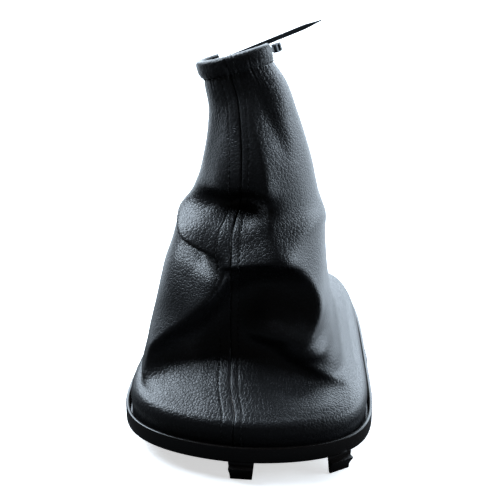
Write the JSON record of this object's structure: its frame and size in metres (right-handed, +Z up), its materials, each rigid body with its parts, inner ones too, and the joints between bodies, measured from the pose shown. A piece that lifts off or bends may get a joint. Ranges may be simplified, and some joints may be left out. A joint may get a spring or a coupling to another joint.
{
  "type": "gear lever gaiter",
  "caption": "Black leatherette gear lever gaiter on a snap-in plastic frame with a hemmed, tilted neck and a cable tie through the hem.",
  "frame": {"origin": "bottom centre of the part, on the plane of the clip tips", "axes": "+Z up through the neck, +Y towards the back of the frame, +X to the right seen from the front"},
  "size_m": [0.1315, 0.173, 0.2156],
  "materials": {
    "frame_plastic": "satin moulded",
    "ring_plastic": "matt moulded",
    "leatherette": "pebble-grained, semi-gloss",
    "tie_nylon": "smooth nylon"
  },
  "bodies": {
    "root": {"outer_frame": "frame_plastic", "carrier_ring": "ring_plastic", "right_panel": "leatherette", "left_panel": "leatherette", "cable_tie": "tie_nylon"}
  },
  "joints": []
}
